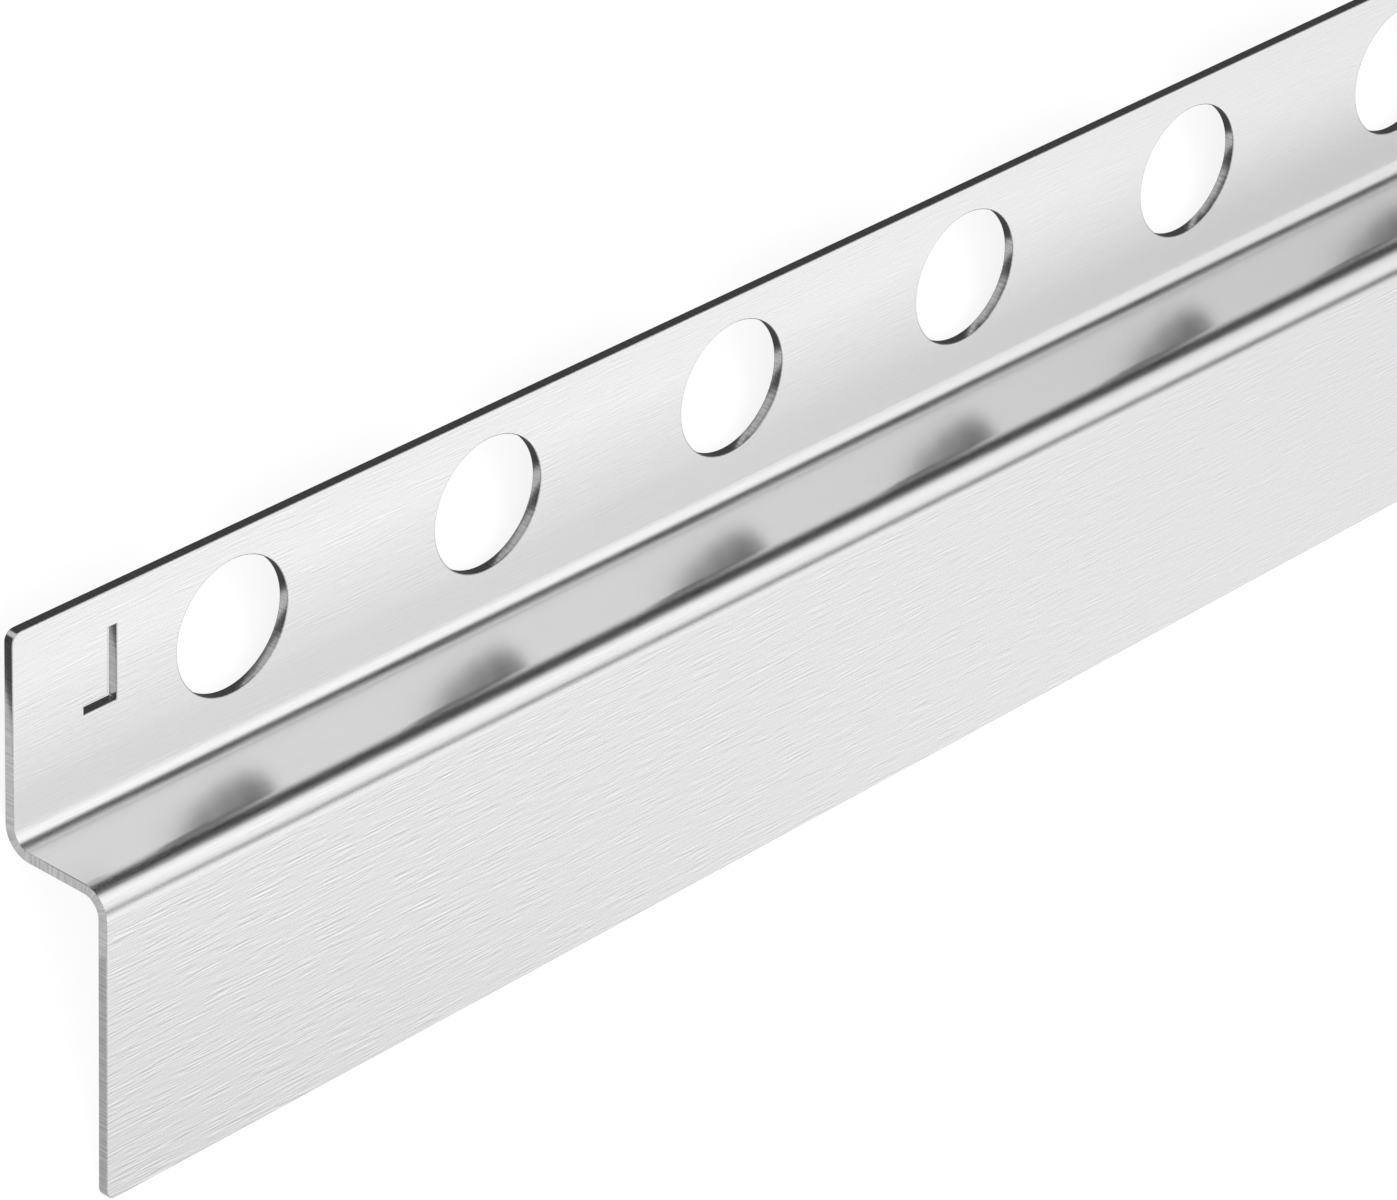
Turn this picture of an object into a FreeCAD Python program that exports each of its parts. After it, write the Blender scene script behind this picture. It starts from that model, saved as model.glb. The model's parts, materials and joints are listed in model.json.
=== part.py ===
# A slope wedge profile for the wall of a floor-level shower.
# One strip of stainless steel sheet, cut to shape and folded twice to a Z.
# The perforated fixing flange is bedded in adhesive on the wall, the wall tiles stand on the
# narrow web, and the visible flange below it covers the wedge that the falling floor leaves,
# so it is tall at one end and tapers evenly to the other.
#
# Every size is in millimetres. The profile is first drawn as it is used:
#   X runs along it from the tall end, Y goes from the room into the wall, Z is up,
#   Y = 0 is the room face of the fixing flange and Z = 0 the upper face of the web.
# It is then laid down on its wall side, as it comes to rest on a level floor, with the floor
# at Z = 0 and the middle of its outline over the origin.
import FreeCAD, Part
import math
import os

from FreeCAD import Vector

# Sheet and folds
sheet = 1.0
inner_bend_radius = 1.7
outer_bend_radius = inner_bend_radius + sheet

# Strip
length = 980.0
corner_radius = 1.0

# Flanges, measured from the upper face of the web, and the step between their room faces
fixing_flange_height = 19.7
step_depth = 11.0
visible_flange_height = 29.55
fall = 0.016

# Round holes in the fixing flange
hole_diameter = 12.7
hole_pitch = 30.0
hole_end_distance = 24.7
hole_edge_distance = 8.95

# Angle-shaped slot near the tall end, which tells the left-hand piece from the right-hand one
mark_end_distance = 7.9
mark_edge_distance = 3.5
mark_width = 3.65
mark_height = 7.1
mark_upright_stroke = 0.95
mark_foot_stroke = 0.8

# How far a cutting tool runs past the sheet on each side
overrun = 5.0


def polygon_face(points):
    """Flat face inside straight edges through the points."""
    return Part.Face(Part.makePolygon(points + points[:1]))


def arc_between(centre, radius, start_degrees, end_degrees):
    """Arc in the Y-Z plane about (y, z), from one angle to another, where 0 is along +Y."""
    def on_circle(degrees):
        angle = math.radians(degrees)
        return Vector(0, centre[0] + radius * math.cos(angle), centre[1] + radius * math.sin(angle))
    middle = (start_degrees + end_degrees) / 2
    return Part.Arc(on_circle(start_degrees), on_circle(middle), on_circle(end_degrees)).toShape()


def rounded_outline(corners, radius):
    """Closed face in the X-Z plane through the corners, each rounded with the radius."""
    edges = []
    trimmed = []
    count = len(corners)
    for i in range(count):
        corner = corners[i]
        to_last = (corners[i - 1] - corner).normalize()
        to_next = (corners[(i + 1) % count] - corner).normalize()
        half_angle = to_last.getAngle(to_next) / 2
        setback = radius / math.tan(half_angle)
        bisector = (to_last + to_next).normalize()
        centre = corner + bisector * (radius / math.sin(half_angle))
        first = corner + to_last * setback
        last = corner + to_next * setback
        edges.append(Part.Arc(first, centre - bisector * radius, last).toShape())
        trimmed.append((first, last))
    for i in range(count):
        edges.append(Part.LineSegment(trimmed[i][1], trimmed[(i + 1) % count][0]).toShape())
    return Part.Face(Part.Wire(Part.__sortEdges__(edges)))


# Planes of the folded sheet
wall_face_y = sheet
visible_face_y = -step_depth
visible_back_y = visible_face_y + sheet
web_under_z = -sheet
top_edge_z = fixing_flange_height
bottom_edge_z = -visible_flange_height

# Centres of the two folds: the upper one is hollow to the room, the lower one to the wall
upper_bend = (-inner_bend_radius, inner_bend_radius)
lower_bend = (visible_back_y + inner_bend_radius, web_under_z - inner_bend_radius)


def folded_strip():
    """The Z-shaped section, carried along the whole length."""
    def line(y1, z1, y2, z2):
        return Part.LineSegment(Vector(0, y1, z1), Vector(0, y2, z2)).toShape()
    edges = [
        line(0, top_edge_z, 0, upper_bend[1]),
        arc_between(upper_bend, inner_bend_radius, 0, -90),
        line(upper_bend[0], 0, lower_bend[0], 0),
        arc_between(lower_bend, outer_bend_radius, 90, 180),
        line(visible_face_y, lower_bend[1], visible_face_y, bottom_edge_z),
        line(visible_face_y, bottom_edge_z, visible_back_y, bottom_edge_z),
        line(visible_back_y, bottom_edge_z, visible_back_y, lower_bend[1]),
        arc_between(lower_bend, inner_bend_radius, 180, 90),
        line(lower_bend[0], web_under_z, upper_bend[0], web_under_z),
        arc_between(upper_bend, outer_bend_radius, -90, 0),
        line(wall_face_y, upper_bend[1], wall_face_y, top_edge_z),
        line(wall_face_y, top_edge_z, 0, top_edge_z),
    ]
    section = Part.Face(Part.Wire(edges))
    return section.extrude(Vector(length, 0, 0))


def front_outline():
    """The profile's outline seen from the room: level top, falling bottom edge, round corners."""
    corners = [
        Vector(0, 0, top_edge_z),
        Vector(length, 0, top_edge_z),
        Vector(length, 0, bottom_edge_z + fall * length),
        Vector(0, 0, bottom_edge_z),
    ]
    face = rounded_outline(corners, corner_radius)
    face.translate(Vector(0, visible_face_y - overrun, 0))
    return face.extrude(Vector(0, step_depth + sheet + 2 * overrun, 0))


def hole_places():
    """Distances from the tall end to the centres of the round holes."""
    room = length - 2 * hole_end_distance
    count = int(math.floor(room / hole_pitch + 1e-6)) + 1
    return [hole_end_distance + i * hole_pitch for i in range(count)]


def round_holes():
    """Cutting rods for the row of holes in the fixing flange."""
    z = top_edge_z - hole_edge_distance
    rods = []
    for x in hole_places():
        foot = Vector(x, -overrun, z)
        rods.append(Part.makeCylinder(hole_diameter / 2, sheet + 2 * overrun, foot, Vector(0, 1, 0)))
    return Part.makeCompound(rods)


def hand_mark():
    """Cutting tool for the angle-shaped slot: an upright with a foot towards the tall end."""
    left = mark_end_distance
    right = left + mark_width
    top = top_edge_z - mark_edge_distance
    foot = top - mark_height
    outline = [
        Vector(right, 0, top),
        Vector(right, 0, foot),
        Vector(left, 0, foot),
        Vector(left, 0, foot + mark_foot_stroke),
        Vector(right - mark_upright_stroke, 0, foot + mark_foot_stroke),
        Vector(right - mark_upright_stroke, 0, top),
    ]
    face = polygon_face(outline)
    face.translate(Vector(0, -overrun, 0))
    return face.extrude(Vector(0, sheet + 2 * overrun, 0))


def lowest_corner_z():
    """Lowest point of the rounded corner at the tall end, where the profile touches the floor."""
    return bottom_edge_z + corner_radius * (fall + math.sqrt(1 + fall * fall) - 1)


def resting_tilt():
    """Angle between the fixing flange and the floor, in degrees, with the profile on its wall side.

    It stands on the upper fold, a cylinder of the outer bend radius, and on the wall-side edge of
    the visible flange at the tall end. Both are equally low where
    reach * sin(tilt) - rise * cos(tilt) = outer bend radius.
    """
    reach = upper_bend[1] - lowest_corner_z()
    rise = upper_bend[0] - visible_back_y
    lean = math.atan2(rise, reach)
    return math.degrees(lean + math.asin(outer_bend_radius / math.hypot(reach, rise)))


def laid_down(solid):
    """The profile on its wall side at its resting tilt, on the floor and over the origin."""
    turn = math.radians(resting_tilt())
    cosine = math.cos(turn)
    sine = math.sin(turn)
    solid.rotate(Vector(0, 0, 0), Vector(1, 0, 0), math.degrees(turn) - 90)
    floor_z = upper_bend[1] * sine - upper_bend[0] * cosine - outer_bend_radius
    far_y = top_edge_z * cosine + wall_face_y * sine
    near_y = lowest_corner_z() * cosine + visible_face_y * sine
    solid.translate(Vector(-length / 2, -(far_y + near_y) / 2, -floor_z))
    return solid


profile = folded_strip().common(front_outline())
profile = profile.cut(round_holes())
profile = profile.cut(hand_mark())
profile = laid_down(profile.Solids[0])

os.makedirs("parts", exist_ok=True)
profile.exportStep("parts/wedge_profile.step")

box = profile.BoundBox
print("holes", len(hole_places()), "tilt", round(resting_tilt(), 4))
print("valid", profile.isValid(), "volume", round(profile.Volume, 3))
print("box", [round(v, 4) for v in (box.XMin, box.XMax, box.YMin, box.YMax, box.ZMin, box.ZMax)])
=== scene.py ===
import json
import math

import bpy
import numpy as np
from mathutils import Matrix, Vector


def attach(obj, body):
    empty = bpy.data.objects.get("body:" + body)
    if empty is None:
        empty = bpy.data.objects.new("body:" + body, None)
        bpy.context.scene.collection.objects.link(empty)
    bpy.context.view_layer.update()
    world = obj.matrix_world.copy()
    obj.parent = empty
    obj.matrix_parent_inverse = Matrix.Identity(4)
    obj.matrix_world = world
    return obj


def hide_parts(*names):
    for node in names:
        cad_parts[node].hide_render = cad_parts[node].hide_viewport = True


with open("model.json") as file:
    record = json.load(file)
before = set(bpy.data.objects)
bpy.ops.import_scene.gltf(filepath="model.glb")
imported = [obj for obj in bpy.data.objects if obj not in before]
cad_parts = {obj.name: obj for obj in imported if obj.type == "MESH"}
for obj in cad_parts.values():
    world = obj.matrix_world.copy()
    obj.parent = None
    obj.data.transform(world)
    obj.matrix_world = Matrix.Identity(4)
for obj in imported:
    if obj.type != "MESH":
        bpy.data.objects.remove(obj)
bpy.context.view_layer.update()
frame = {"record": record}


# The folded sheet
# One strip of 1 mm brushed stainless steel sheet, punched, cut to a taper and folded twice to a Z:
# a perforated flange, a web for the tiles to stand on, and a cover flange over the sloping floor.

# Sizes are in millimetres, as the profile is used: x along it from the tall end, y into the
# wall and z up, from the room face of the perforated flange and the upper face of the web.
sheet = 1.0
hollow_fold = 1.7
crown_fold = hollow_fold + sheet
length = 980.0
perforated_height = 19.7
step_depth = 11.0
cover_height = 29.55
fall = 0.016
corner_radius = 1.0
deburred_edge = 0.09

# Distances along the room side of the section, down from the top edge, where each stretch ends
flange_end = perforated_height - hollow_fold
web_start = flange_end + hollow_fold * math.pi / 2
web_end = web_start + step_depth - hollow_fold - crown_fold
cover_start = web_end + crown_fold * math.pi / 2
strip_height = cover_start + cover_height - crown_fold

# The record's first hole says where the profile lies and how far it is tilted
hole_radius = 6.35
hole_pitch = 30.0
hole_drop = 8.95
first_hole_x = 24.7
hole_count = 32
mounts = {mount["name"]: mount for mount in frame["record"]["mounts"]}
to_room = np.array(mounts["hole_01"]["axis"])
along = np.array([1.0, 0.0, 0.0])
upward = np.cross(to_room, along)
lying = np.column_stack([along, -to_room, upward])
first_hole = np.array([first_hole_x, sheet / 2, perforated_height - hole_drop])
first_hole_on_floor = np.array(mounts["hole_01"]["pos_m"])


def laid_down(used):
    """Points in millimetres as the profile is used, turned and moved to where it lies, in metres."""
    return first_hole_on_floor + (used - first_hole) @ lying.T / 1000


def folded(x, v, depth):
    """Point of the sheet x along it, v down the room side of its section and depth below that side.

    Each stretch of v moves the point straight on, or round a fold by v over the fold's radius.
    The second and third results are the unit directions down the section and into the sheet.
    """
    flange = np.clip(v, 0, flange_end)
    first = np.clip(v - flange_end, 0, hollow_fold * math.pi / 2) / hollow_fold
    web = np.clip(v - web_start, 0, web_end - web_start)
    second = np.clip(v - web_end, 0, crown_fold * math.pi / 2) / crown_fold
    cover = np.maximum(v - cover_start, 0)
    turn = first - second
    down = np.stack([0 * turn, -np.sin(turn), -np.cos(turn)], -1)
    inward = np.stack([0 * turn, np.cos(turn), -np.sin(turn)], -1)
    y = -hollow_fold * (1 - np.cos(first)) - web - crown_fold * np.sin(second)
    z = perforated_height - flange - hollow_fold * np.sin(first)
    z = z - crown_fold * (1 - np.cos(second)) - cover
    point = np.stack([x + 0 * turn, y, z], -1) + depth[..., None] * inward
    return point, down, inward


patches = []


def add_patch(x, v, depth, out_x, out_v, out_depth, uv, finish):
    """One grid of sheet points, all arguments spread to its rows and columns.

    The normal is out_x along the profile, out_v down the section and out_depth into the sheet.
    """
    x, v, depth, out_x, out_v, out_depth, uv_x, uv_y = np.broadcast_arrays(
        x, v, depth, out_x, out_v, out_depth, uv[0], uv[1])
    point, down, inward = folded(x, v, depth)
    normal = out_x[..., None] * along + out_v[..., None] * down + out_depth[..., None] * inward
    patches.append((laid_down(point), normal @ lying.T, np.stack([uv_x, uv_y], -1), finish))


def add_faces(x, v):
    """The same patch of the room side and of the wall side of the sheet, both brushed."""
    for depth, out in ((0.0, -1.0), (sheet, 1.0)):
        add_patch(x, v, depth, 0.0, 0.0, out, (x, v), 0)


def add_rim(loop, around):
    """The cut edge along a loop, rounded over at both faces.

    loop(inset) gives x, v and the outward direction of the loop moved that far into the sheet.
    A layer at angle a from the room face has inset radius * (1 - sin a), and lies
    radius * (1 - |cos a|) below the nearer face.
    """
    angle = np.radians([0, 30, 60, 90, 90, 120, 150, 180])
    layer = np.arange(len(angle))
    radius = deburred_edge
    near_room = layer < len(angle) / 2
    depth = np.where(near_room, radius * (1 - np.cos(angle)), sheet - radius * (1 + np.cos(angle)))
    loops = [np.stack(np.broadcast_arrays(*loop(radius * (1 - math.sin(a))))) for a in angle]
    x, v, out_x, out_v = np.stack(loops, 1)
    rise = np.sin(angle)[:, None]
    add_patch(x, v, depth[:, None], out_x * rise, out_v * rise, -np.cos(angle)[:, None],
              (around + 0 * x, depth[:, None]), 1)


# Strip outline: the columns of points at which the top and bottom edges are cut, the corners
# being quarter circles, and the rows at which both ends are cut. A side of a hole's cell has
# cell_points steps, and the upper and lower side of the slot's cell a point near each corner.
corner_points = 7
fold_points = 19
cell_points = 16
corner_steps = np.radians(np.linspace(0, 90, corner_points))
side = np.arange(cell_points) / cell_points
slot_side = np.array([0.0, 0.1, 0.9])
slot_cell_start = corner_radius
slot_cell_end = 15.0
cell_starts = np.append(slot_cell_end, first_hole_x + hole_pitch * (np.arange(1, hole_count) - 0.5))
cell_ends = first_hole_x + hole_pitch * (np.arange(hole_count) + 0.5)
middle_columns = np.concatenate([
    slot_cell_start + (slot_cell_end - slot_cell_start) * slot_side[1:],
    (cell_starts[:, None] + (cell_ends - cell_starts)[:, None] * side).ravel(),
    cell_ends[-1:]])
straight = np.ones_like(middle_columns)
edge_out_x = np.concatenate([-np.cos(corner_steps), 0 * straight, np.cos(corner_steps[::-1])])
edge_out_v = np.concatenate([np.sin(corner_steps), straight, np.sin(corner_steps[::-1])])
fold_steps = np.linspace(0, 1, fold_points)
fold_rows = np.concatenate([
    flange_end + (web_start - flange_end) * fold_steps,
    web_end + (cover_start - web_end) * fold_steps])
end_rows = np.concatenate([corner_radius + (flange_end - corner_radius) * side[1:], fold_rows])


def edge_columns(inset):
    """x of each column, and v of the top and bottom edge there, with the outline moved inwards.

    At a corner they follow a quarter circle of the corner radius less the inset.
    """
    radius = corner_radius - inset
    x_left = corner_radius - radius * np.cos(corner_steps)
    x = np.concatenate([x_left, middle_columns, length - x_left[::-1]])
    rounding = corner_radius - radius * edge_out_v
    return x, rounding, strip_height - fall * x - rounding


def strip_loop(inset):
    """The whole outline, once round: top edge, low end, bottom edge and tall end."""
    x, top, bottom = edge_columns(inset)
    ends = np.ones_like(end_rows)
    loop_x = np.concatenate([x, x[-1] * ends, x[::-1], x[0] * ends, x[:1]])
    loop_v = np.concatenate([top, end_rows, bottom[::-1], end_rows[::-1], top[:1]])
    out_x = np.concatenate([edge_out_x, ends, edge_out_x[::-1], -ends, edge_out_x[:1]])
    out_v = np.concatenate([-edge_out_v, 0 * ends, edge_out_v[::-1], 0 * ends, -edge_out_v[:1]])
    return loop_x, loop_v, out_x, out_v


column_x, column_top, column_bottom = edge_columns(deburred_edge)
loop_x, loop_v, _, _ = strip_loop(0)
loop_distance = np.append(0, np.cumsum(np.hypot(np.diff(loop_x), np.diff(loop_v))))
add_rim(strip_loop, loop_distance)

# From the end of the perforated flange down: both folds, the web and the tapering cover
lower_v = np.concatenate([np.repeat(fold_rows[:, None], len(column_x), 1), column_bottom[None]])
add_faces(column_x[None], lower_v)

# Plain ends of the perforated flange, between its rounded corners and the first and last cell
tall_end = slice(0, len(corner_steps))
low_end = slice(len(column_x) - len(corner_steps) - 1, None)
share = np.append(side, 1)[:, None]
for end in (tall_end, low_end):
    add_faces(column_x[None, end], column_top[end] + (flange_end - column_top[end]) * share)


# Round holes
# A row of punched holes along the perforated flange, through which the adhesive grips it. Each
# lies in its own cell of the flange, a ring of sheet from the hole's edge out to a rectangle.
# Circle and rectangle both start at the upper corner towards the tall end.
cell_u = np.concatenate([side, 1 + 0 * side, 1 - side, 0 * side, [0]])
cell_w = np.concatenate([0 * side, side, 1 + 0 * side, 1 - side, [0]])
hole_angle = np.radians(np.linspace(-135, 225, 4 * cell_points + 1))
hole_centres = first_hole_x + hole_pitch * np.arange(hole_count)
for centre, start, end in zip(hole_centres, cell_starts, cell_ends):
    def hole_loop(inset, centre=centre):
        """The hole's circle, with its outward direction into the hole."""
        radius = hole_radius + inset
        out_x = -np.cos(hole_angle)
        out_v = -np.sin(hole_angle)
        return centre - radius * out_x, hole_drop - radius * out_v, out_x, out_v

    circle_x, circle_v, _, _ = hole_loop(deburred_edge)
    cell_x = start + (end - start) * cell_u
    cell_v = deburred_edge + (flange_end - deburred_edge) * cell_w
    add_faces(np.stack([circle_x, cell_x]), np.stack([circle_v, cell_v]))
    add_rim(hole_loop, hole_radius * hole_angle)


# Hand mark
# A small angle-shaped slot punched beside the tall end, an upright with a foot towards the end.
# It tells the left-hand piece from the right-hand one.
mark_end_distance = 7.9
mark_edge_distance = 3.5
mark_width = 3.65
mark_height = 7.1
mark_upright_stroke = 0.95
mark_foot_stroke = 0.8
near_corner = 0.1
mark_right = mark_end_distance + mark_width
mark_bottom = mark_edge_distance + mark_height
upright_x = mark_right - mark_upright_stroke
foot_v = mark_bottom - mark_foot_stroke
mark_corners = np.array([
    [upright_x, mark_edge_distance], [mark_right, mark_edge_distance], [mark_right, mark_bottom],
    [mark_end_distance, mark_bottom], [mark_end_distance, foot_v], [upright_x, foot_v]])
mark_growth = np.array([[-1, -1], [1, -1], [1, 1], [-1, 1], [-1, -1], [-1, -1]])
mark_side_out = np.array([[0, 1], [-1, 0], [0, -1], [1, 0], [0, 1], [1, 0]])

# Points on each side of the slot, and the corner of its cell that each side starts from. The
# cell's left side takes the foot's end, the foot's upper side and the upright's left side.
side_points = [3, cell_points, 3, 8, 2, 6]
cell_corners = np.array([[0, 0], [1, 0], [1, 1], [0, 1], [0, 0.5], [0, 0.375], [0, 0]])


def mark_loop(inset):
    """The slot's outline: a point at each corner, where the normal turns, and more between."""
    corners = mark_corners + inset * mark_growth
    points = []
    outs = []
    for i, count in enumerate(side_points):
        run = corners[(i + 1) % len(corners)] - corners[i]
        reach = near_corner / np.linalg.norm(run)
        share = np.append(0, np.linspace(reach, 1 - reach, count - 1))
        corner_out = mark_side_out[i] + mark_side_out[i - 1]
        out = np.repeat(mark_side_out[i][None], count, 0).astype(float)
        out[0] = corner_out / np.linalg.norm(corner_out)
        points.append(corners[i] + share[:, None] * run)
        outs.append(out)
    points = np.concatenate(points + points[:1])[:sum(side_points) + 1]
    outs = np.concatenate(outs + outs[:1])[:sum(side_points) + 1]
    return points[:, 0], points[:, 1], outs[:, 0], outs[:, 1]


mark_x, mark_v, _, _ = mark_loop(deburred_edge)
mark_distance = np.append(0, np.cumsum(np.hypot(np.diff(mark_x), np.diff(mark_v))))
add_rim(mark_loop, mark_distance)

cell = []
for i, count in enumerate(side_points):
    share = slot_side if i in (0, 2) else np.arange(count) / count
    cell.append(cell_corners[i] + share[:, None] * (cell_corners[i + 1] - cell_corners[i]))
cell = np.concatenate(cell + [cell_corners[:1]])
slot_x = slot_cell_start + (slot_cell_end - slot_cell_start) * cell[:, 0]
slot_v = deburred_edge + (flange_end - deburred_edge) * cell[:, 1]
add_faces(np.stack([mark_x, slot_x]), np.stack([mark_v, slot_v]))


# One mesh of all patches
# The grids' edges meet point on point, so they are welded, and every normal comes from the fold
# and the rounding of the edges, which keeps the flat flanges flat up to their folds.
points = np.concatenate([patch[0].reshape(-1, 3) for patch in patches])
normals = np.concatenate([patch[1].reshape(-1, 3) for patch in patches])
uvs = np.concatenate([patch[2].reshape(-1, 2) for patch in patches])
quads = []
finishes = []
start = 0
for patch in patches:
    rows, columns = patch[0].shape[:2]
    index = start + np.arange(rows * columns).reshape(rows, columns)
    quad = np.stack([index[:-1, :-1], index[1:, :-1], index[1:, 1:], index[:-1, 1:]], -1).reshape(-1, 4)
    quads.append(quad)
    finishes.append(np.full(len(quad), patch[3]))
    start += rows * columns
quads = np.concatenate(quads)
finishes = np.concatenate(finishes)

# A face looks out where its own normal agrees with that of its points
facing = np.cross(points[quads[:, 2]] - points[quads[:, 0]], points[quads[:, 3]] - points[quads[:, 1]])
wrong = np.einsum("ij,ij->i", facing, normals[quads].sum(1)) < 0
quads[wrong] = quads[wrong][:, ::-1]

# Points within about a ten-thousandth of a millimetre of one another become one
weld = 1e-7
_, kept, welded = np.unique(np.round(points / weld).astype(np.int64), axis=0,
                            return_index=True, return_inverse=True)
welded = welded.reshape(-1)

profile_mesh = bpy.data.meshes.new("wedge_profile_sheet")
profile_mesh.from_pydata(points[kept].tolist(), [], welded[quads].tolist())
uv_layer = profile_mesh.uv_layers.new(name="along_and_down")
uv_layer.data.foreach_set("uv", (uvs[quads] / 1000).astype(np.float32).ravel())
profile_mesh.polygons.foreach_set("material_index", finishes.astype(np.int32))
profile_mesh.shade_smooth()
profile_mesh.update()
profile_mesh.normals_split_custom_set_from_vertices(normals[kept].tolist())
profile = bpy.data.objects.new("wedge_profile_sheet", profile_mesh)
bpy.context.scene.collection.objects.link(profile)


def linear(hex_colour):
    """An sRGB hex colour as the linear red, green, blue and alpha that shaders take."""
    parts = [int(hex_colour[i:i + 2], 16) / 255 for i in (1, 3, 5)]
    return [p / 12.92 if p <= 0.04045 else ((p + 0.055) / 1.055) ** 2.4 for p in parts] + [1.0]


def add_node(tree, kind, settings=None, **links):
    """A new node, its settings by name, and its inputs by name: a value, or another's output."""
    node = tree.nodes.new(kind)
    for name, value in (settings or {}).items():
        setattr(node, name, value)
    for name, value in links.items():
        socket = node.inputs[int(name[1:])] if name[0] == "_" else node.inputs[name.replace("_", " ")]
        if isinstance(value, bpy.types.NodeSocket):
            tree.links.new(value, socket)
        else:
            socket.default_value = value
    return node


def brushed_stainless():
    """Stainless steel sheet, brushed along its length with a fine belt.

    The hairline scratches spread reflections across the sheet and leave them sharper along it.
    Each is a thin light stroke beside a dark one, a few millimetres long: one noise, stretched
    along the sheet, less the same noise half a stroke's width further down. They come in small
    clusters and grow fainter away from the tall end. They are plain on the cover flange, fainter
    at the top of the perforated flange and almost gone round the web. The top of the perforated
    flange is painted a little brighter than the rest of the steel, as painted light.
    """
    stroke_length = 3.6
    stroke_width = 0.22
    cluster_length = 4.0
    cluster_width = 1.2
    faint_from = 9.0
    gone_from = 15.0
    gone_to = cover_start - 0.5
    plain_from = cover_start + 0.5
    strongest_to = 20.0
    weakest_from = 140.0
    material = bpy.data.materials.new("brushed_stainless")
    material.use_nodes = True
    tree = material.node_tree
    surface = tree.nodes["Principled BSDF"]
    uv = add_node(tree, "ShaderNodeUVMap", {"uv_map": "along_and_down"})
    noises = []
    for offset in (0.0, 0.5):
        stretched = add_node(tree, "ShaderNodeMapping", Vector=uv.outputs["UV"],
                             Scale=(1000 / stroke_length, 1000 / stroke_width, 1.0),
                             Location=(0.0, offset, 0.0))
        noises.append(add_node(tree, "ShaderNodeTexNoise", {"noise_dimensions": "2D"},
                               Vector=stretched.outputs["Vector"], Scale=1.0, Detail=1.0))
    strokes = add_node(tree, "ShaderNodeMath", {"operation": "SUBTRACT"},
                       _0=noises[0].outputs["Fac"], _1=noises[1].outputs["Fac"])
    spread = add_node(tree, "ShaderNodeMapping", Vector=uv.outputs["UV"],
                      Scale=(1000 / cluster_length, 1000 / cluster_width, 1.0))
    clusters = add_node(tree, "ShaderNodeTexNoise", {"noise_dimensions": "2D"},
                        Vector=spread.outputs["Vector"], Scale=1.0, Detail=1.0)
    dense = add_node(tree, "ShaderNodeMapRange", Value=clusters.outputs["Fac"],
                     From_Min=0.3, From_Max=0.7, To_Min=0.35, To_Max=1.75)
    strokes = add_node(tree, "ShaderNodeMath", {"operation": "MULTIPLY"},
                       _0=strokes.outputs[0], _1=dense.outputs["Result"])
    place = add_node(tree, "ShaderNodeSeparateXYZ", Vector=uv.outputs["UV"])
    worn = add_node(tree, "ShaderNodeMapRange", Value=place.outputs["X"],
                    From_Min=strongest_to / 1000, From_Max=weakest_from / 1000,
                    To_Min=1.15, To_Max=0.4)
    strokes = add_node(tree, "ShaderNodeMath", {"operation": "MULTIPLY"},
                       _0=strokes.outputs[0], _1=worn.outputs["Result"])
    down = add_node(tree, "ShaderNodeMath", {"operation": "DIVIDE"},
                    _0=place.outputs["Y"], _1=strip_height / 1000)
    strength = add_node(tree, "ShaderNodeValToRGB", Fac=down.outputs[0])
    for distance, grey in ((faint_from, 0.45), (gone_from, 0.15), (gone_to, 0.15), (plain_from, 1.0)):
        stop = strength.color_ramp.elements.new(distance / strip_height)
        stop.color = (grey, grey, grey, 1.0)
    strength.color_ramp.elements.remove(strength.color_ramp.elements[0])
    # Painted light: the top of the perforated flange is painted a little brighter, fading to the
    # steel's plain shade between 9 and 15 mm down.
    level = add_node(tree, "ShaderNodeMapRange", Value=down.outputs[0],
                     From_Min=faint_from / strip_height, From_Max=gone_from / strip_height,
                     To_Min=0.64, To_Max=0.5)
    shown = add_node(tree, "ShaderNodeMath", {"operation": "MULTIPLY_ADD"},
                     _0=strokes.outputs[0], _1=strength.outputs["Color"], _2=level.outputs["Result"])
    shade = add_node(tree, "ShaderNodeValToRGB", Fac=shown.outputs[0])
    shade.color_ramp.elements[0].color = linear("#CBCBCB")
    shade.color_ramp.elements[1].color = linear("#F9F9F9")
    rough = add_node(tree, "ShaderNodeMapRange", Value=noises[0].outputs["Fac"],
                     From_Min=0.3, From_Max=0.7, To_Min=0.24, To_Max=0.26)
    relief = add_node(tree, "ShaderNodeBump", Height=noises[0].outputs["Fac"],
                      Strength=0.05, Distance=0.00001)
    tangent = add_node(tree, "ShaderNodeTangent",
                       {"direction_type": "UV_MAP", "uv_map": "along_and_down"})
    surface.inputs["Metallic"].default_value = 1.0
    surface.inputs["Anisotropic"].default_value = 0.7
    surface.inputs["Anisotropic Rotation"].default_value = 0.25
    tree.links.new(shade.outputs["Color"], surface.inputs["Base Color"])
    tree.links.new(rough.outputs["Result"], surface.inputs["Roughness"])
    tree.links.new(relief.outputs["Normal"], surface.inputs["Normal"])
    tree.links.new(tangent.outputs["Tangent"], surface.inputs["Tangent"])
    return material


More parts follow.
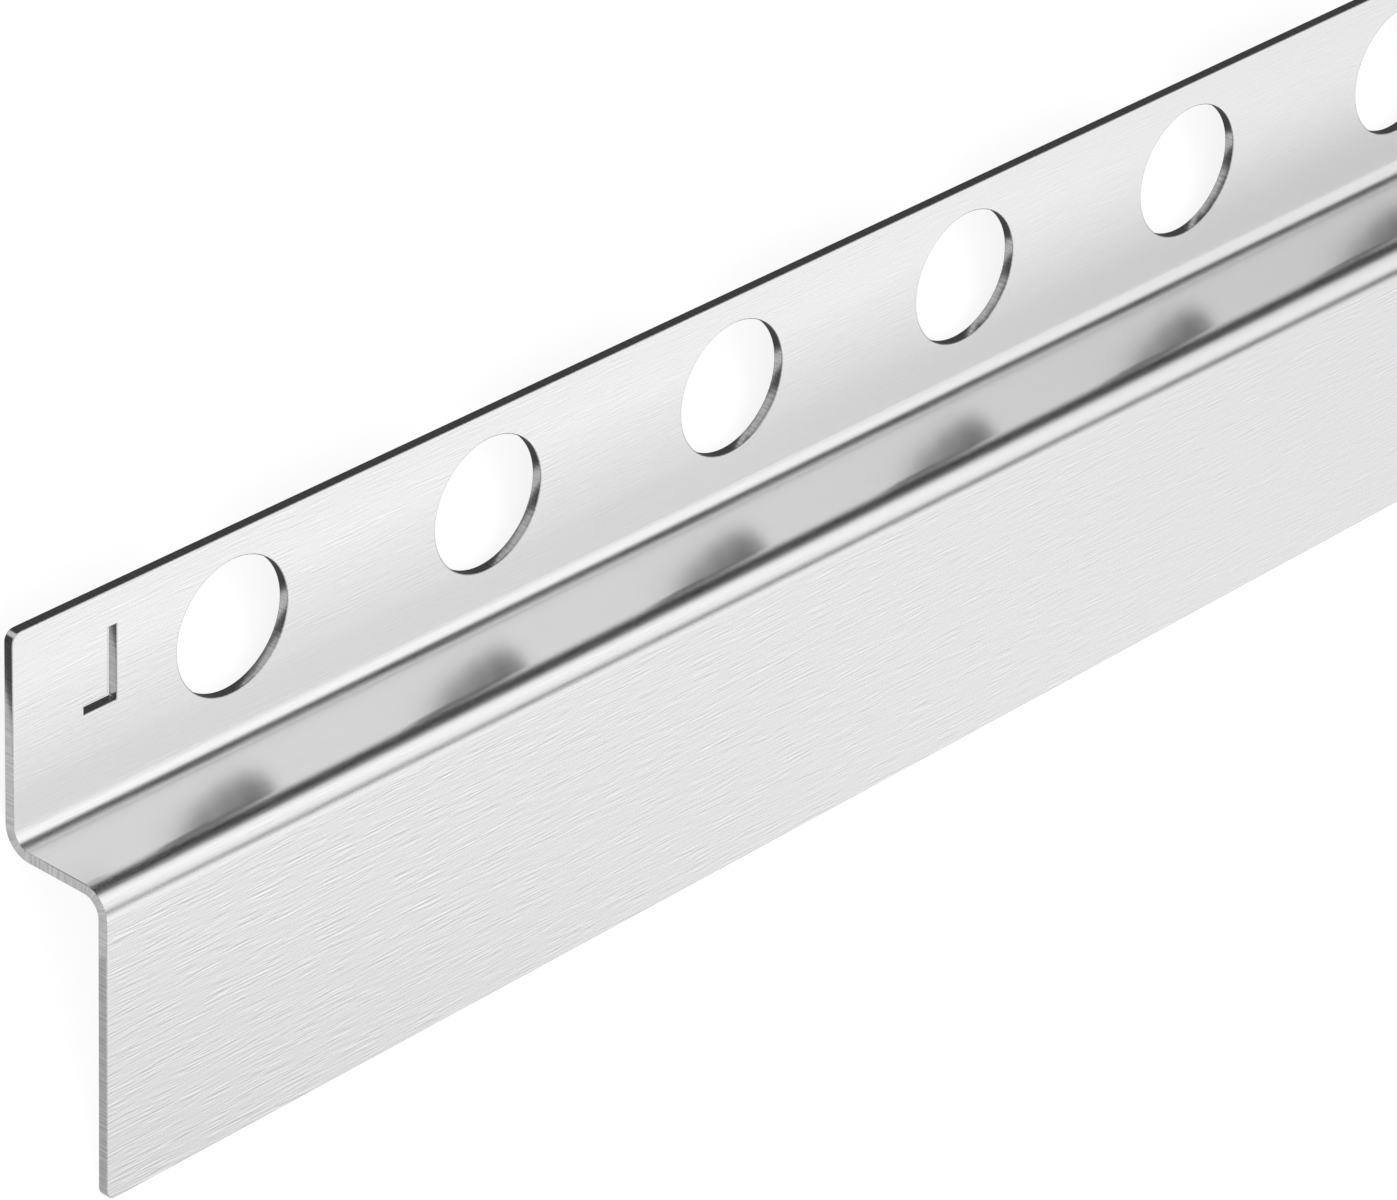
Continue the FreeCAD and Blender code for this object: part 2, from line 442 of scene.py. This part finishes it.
def cut_edge():
    """Punched and sheared edge of the same sheet: bare, a little duller, streaked across."""
    streak_width = 0.25
    material = bpy.data.materials.new("cut_stainless_edge")
    material.use_nodes = True
    tree = material.node_tree
    surface = tree.nodes["Principled BSDF"]
    uv = add_node(tree, "ShaderNodeUVMap", {"uv_map": "along_and_down"})
    scale = (1000 / streak_width, 1000 / (4 * sheet), 1.0)
    stretched = add_node(tree, "ShaderNodeMapping", Vector=uv.outputs["UV"], Scale=scale)
    streaks = add_node(tree, "ShaderNodeTexNoise", {"noise_dimensions": "2D"},
                       Vector=stretched.outputs["Vector"], Scale=1.0, Detail=2.0)
    shade = add_node(tree, "ShaderNodeValToRGB", Fac=streaks.outputs["Fac"])
    shade.color_ramp.elements[0].position = 0.3
    shade.color_ramp.elements[0].color = linear("#A2A2A2")
    shade.color_ramp.elements[1].position = 0.7
    shade.color_ramp.elements[1].color = linear("#BEBEBE")
    surface.inputs["Metallic"].default_value = 1.0
    surface.inputs["Roughness"].default_value = 0.15
    tree.links.new(shade.outputs["Color"], surface.inputs["Base Color"])
    return material


profile_mesh.materials.append(brushed_stainless())
profile_mesh.materials.append(cut_edge())
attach(profile, "root")
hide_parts("wedge_profile")


# Floor
# A plain white floor. What the camera and the metal see of it is lifted to white, and keeps a
# faint shadow of the profile.
floor_size = 12.0
bpy.ops.mesh.primitive_plane_add(size=floor_size)
floor = bpy.context.object
floor.name = "floor"
floor_material = bpy.data.materials.new("white_floor")
floor_material.use_nodes = True
tree = floor_material.node_tree
tree.nodes.clear()
path = add_node(tree, "ShaderNodeLightPath")
seen = add_node(tree, "ShaderNodeMath", {"operation": "MAXIMUM"},
                _0=path.outputs["Is Camera Ray"], _1=path.outputs["Is Glossy Ray"])
seen = add_node(tree, "ShaderNodeMath", {"operation": "MAXIMUM"},
                _0=seen.outputs[0], _1=path.outputs["Is Transmission Ray"])
painted = add_node(tree, "ShaderNodeBsdfDiffuse", Color=linear("#E6E6E6"))
lift = add_node(tree, "ShaderNodeEmission", Color=linear("#FFFFFF"), Strength=0.86)
shadowed = add_node(tree, "ShaderNodeBsdfDiffuse", Color=linear("#787878"))
lifted = add_node(tree, "ShaderNodeAddShader", _0=lift.outputs[0], _1=shadowed.outputs[0])
mixed = add_node(tree, "ShaderNodeMixShader",
                 _0=seen.outputs[0], _1=painted.outputs[0], _2=lifted.outputs[0])
add_node(tree, "ShaderNodeOutputMaterial", Surface=mixed.outputs[0])
floor.data.materials.append(floor_material)

# World: a white tent all round
world = bpy.data.worlds.new("white_tent")
bpy.context.scene.world = world
world.use_nodes = True
world.node_tree.nodes["Background"].inputs["Color"].default_value = linear("#FFFFFF")
world.node_tree.nodes["Background"].inputs["Strength"].default_value = 1.0


# Lamps and cards
# Two long softboxes parallel to the profile, and cards that only reflections see. The softboxes
# end a little past the low end, so that the steel greys gently away from the tall end.

# Places round the profile are in metres and degrees. An angle is measured round its length, from
# the floor on the perforated side, over the top, to the floor on the cover side.
tall_end_x = -length / 2000
strip_left = -1.4
strip_right = 2.6


def round_profile(x, angle, distance):
    """Point at x along the profile, at an angle round it and a distance from it.

    Its y is the distance times the angle's cosine and its z the distance times its sine.
    """
    toward = math.radians(angle)
    return Vector((x, distance * math.cos(toward), distance * math.sin(toward)))


def lamp_strip(name, start, end, distance, right, brightness):
    """Softbox from one angle to another, facing the profile, with its right end at that x.

    Its power is pi times its area times its brightness.
    """
    width = 2 * distance * math.tan(math.radians((end - start) / 2))
    strip_length = right - strip_left
    light = bpy.data.lights.new(name, "AREA")
    light.shape = "RECTANGLE"
    light.size = width
    light.size_y = strip_length
    light.energy = math.pi * width * strip_length * brightness
    lamp = bpy.data.objects.new(name, light)
    middle = (start + end) / 2
    turn = round_profile(0, middle, 1).to_track_quat("Z", "X").to_matrix().to_4x4()
    place = round_profile((strip_left + right) / 2, middle, distance)
    lamp.matrix_world = Matrix.Translation(place) @ turn
    lamp.visible_camera = False
    bpy.context.scene.collection.objects.link(lamp)


def add_card(name, corners, faces, shade, strength=1.0):
    """Card of one even brightness, with those corners and faces, which only reflections see."""
    mesh = bpy.data.meshes.new(name)
    mesh.from_pydata(corners, [], faces)
    card = bpy.data.objects.new(name, mesh)
    bpy.context.scene.collection.objects.link(card)
    paint = bpy.data.materials.new(name)
    paint.use_nodes = True
    paint.node_tree.nodes.clear()
    even = add_node(paint.node_tree, "ShaderNodeEmission", Color=linear(shade), Strength=strength)
    add_node(paint.node_tree, "ShaderNodeOutputMaterial", Surface=even.outputs[0])
    mesh.materials.append(paint)
    card.visible_camera = False
    card.visible_diffuse = False
    card.visible_shadow = False
    card.visible_transmission = False


def black_card(name, distance, corners):
    """Black card at that distance, with the x and the angle of each corner."""
    points = [round_profile(x, angle, distance) for x, angle in corners]
    add_card(name, points, [(0, 1, 2, 3)], "#0A0A0A")


def front_card(name, front, corners, shade, strength=1.0):
    """Card parallel to the flanges, in front of the cover by that many millimetres.

    Its corners are x and z in millimetres, as the profile is used.
    """
    used = np.array([[x, -step_depth - front, z] for x, z in corners])
    add_card(name, laid_down(used).tolist(), [(0, 1, 2, 3)], shade, strength)


def floor_card(name, left, right, near, far, windows=(), shade="#5A5A5A"):
    """Grey card just above the floor, with windows in it.

    It and each window reach from left to right along the profile and from near to far across it.
    """
    above_floor = 0.0003
    edges = np.array([[left, right, near, far], *windows])
    x = np.unique(edges[:, :2])
    y = np.unique(edges[:, 2:])
    grid_x, grid_y = np.meshgrid(x, y)
    corners = np.stack([grid_x, grid_y, 0 * grid_x + above_floor], -1).reshape(-1, 3)
    index = np.arange(len(corners)).reshape(grid_x.shape)
    faces = np.stack([index[:-1, :-1], index[:-1, 1:], index[1:, 1:], index[1:, :-1]], -1)
    faces = faces.reshape(-1, 4)
    middle_x, middle_y, _ = corners[faces].mean(1).T
    open_faces = np.zeros(len(faces), bool)
    for window in windows:
        open_faces |= ((middle_x > window[0]) & (middle_x < window[1])
                       & (middle_y > window[2]) & (middle_y < window[3]))
    add_card(name, corners.tolist(), faces[~open_faces].tolist(), shade)


lamp_strip("overhead_softbox", start=46, end=91, distance=1.2, right=0.70, brightness=0.28)
lamp_strip("front_softbox", start=117, end=142, distance=1.2, right=0.79, brightness=0.25)

# The low flag draws the dark line where the web turns into the crown fold. The thin flag draws the
# thinner one where that fold turns into the cover, and widens so that it darkens to the low end.
thin_flag_left = -0.1
black_card("low_flag", distance=0.4, corners=[
    (tall_end_x, 1), (strip_right, 1), (strip_right, 17), (tall_end_x, 46)])
black_card("thin_flag", distance=1.0, corners=[
    (thin_flag_left, 103), (strip_right, 103), (strip_right, 173), (thin_flag_left, 110)])

# A light card close in front of the crown fold, level with the web, hides the thin flag from the
# hollow fold. A larger one, whose upper edge slopes, takes a little light from the lower corner
# of the cover at its tall end.
light_end = length + 20
light_low = -0.4
light_high = 3.4
light_corners = [(0, light_low), (light_end, light_low), (light_end, light_high), (0, light_high)]
shaded_corners = [(47, -330), (267, -330), (267, -170), (47, -90)]
front_card("light_card", front=6.0, corners=light_corners, shade="#FFFFFF", strength=1.13)
front_card("corner_card", front=110.0, corners=shaded_corners, shade="#E9E9E9")

# The shade behind the profile, as its cut edges and the web see it through the holes, with
# windows that leave a light patch on the slot and on each hole's wall. A window is its left,
# right, near and far edge, the slot's from the tall end and a hole's two from its centre.
slot_window = np.array([0.0078, 0.0096, 0.0130, 0.0200])
hole_windows = np.array([[0.0028, 0.0041, 0.0146, 0.0160], [0.0011, 0.0030, 0.0160, 0.0178]])
along_only = np.array([1, 1, 0, 0])
windows = [tall_end_x * along_only + slot_window]
for centre in tall_end_x + hole_centres / 1000:
    windows += list(centre * along_only + hole_windows)
floor_card("shade_behind", left=tall_end_x + 0.0002, right=2.0, near=0.006, far=0.3, windows=windows)

# Two small shades that the cut edge at the tall end sees, one beside the perforated flange and
# a paler one beside the cover
floor_card("shade_at_end", left=tall_end_x - 0.04, right=tall_end_x - 0.0032, near=0.012, far=0.034)
floor_card("shade_by_cover", left=tall_end_x - 0.01, right=tall_end_x, near=-0.026, far=-0.006,
           shade="#E4E4E4")


# Camera
# Its place is in millimetres from the first hole's room side, as the profile is used. It is
# turned by yaw about the upright, pitch about its own level axis and roll about its own sight.
camera_place = np.array([-477.2, -491.2, 394.5])
yaw = -0.82696
pitch = 0.51891
roll = 0.03377
focal_pixels = 9566.7
photo_width = 1397
sensor_width = 36.0


def turn_about(axis, angle):
    """Rotation matrix by the angle about the first, second or third axis."""
    return np.array(Matrix.Rotation(angle, 3, axis))


# Rows: the image's right, its down and the line of sight, along the profile's used axes
level = np.array([[1, 0, 0], [0, 0, -1], [0, 1, 0]])
sight = turn_about("Z", roll) @ turn_about("X", pitch) @ level @ turn_about("Z", -yaw)
on_floor = sight @ lying.T
camera_data = bpy.data.cameras.new("camera")
camera_data.sensor_fit = "HORIZONTAL"
camera_data.sensor_width = sensor_width
camera_data.lens = focal_pixels * sensor_width / photo_width
camera = bpy.data.objects.new("camera", camera_data)
turned = Matrix(np.stack([on_floor[0], -on_floor[1], -on_floor[2]], 1).tolist()).to_4x4()
room_side_of_hole = first_hole - [0, sheet / 2, 0]
camera.matrix_world = Matrix.Translation(laid_down(room_side_of_hole + camera_place)) @ turned
bpy.context.scene.collection.objects.link(camera)
bpy.context.scene.camera = camera
bpy.context.scene.view_settings.view_transform = "Standard"
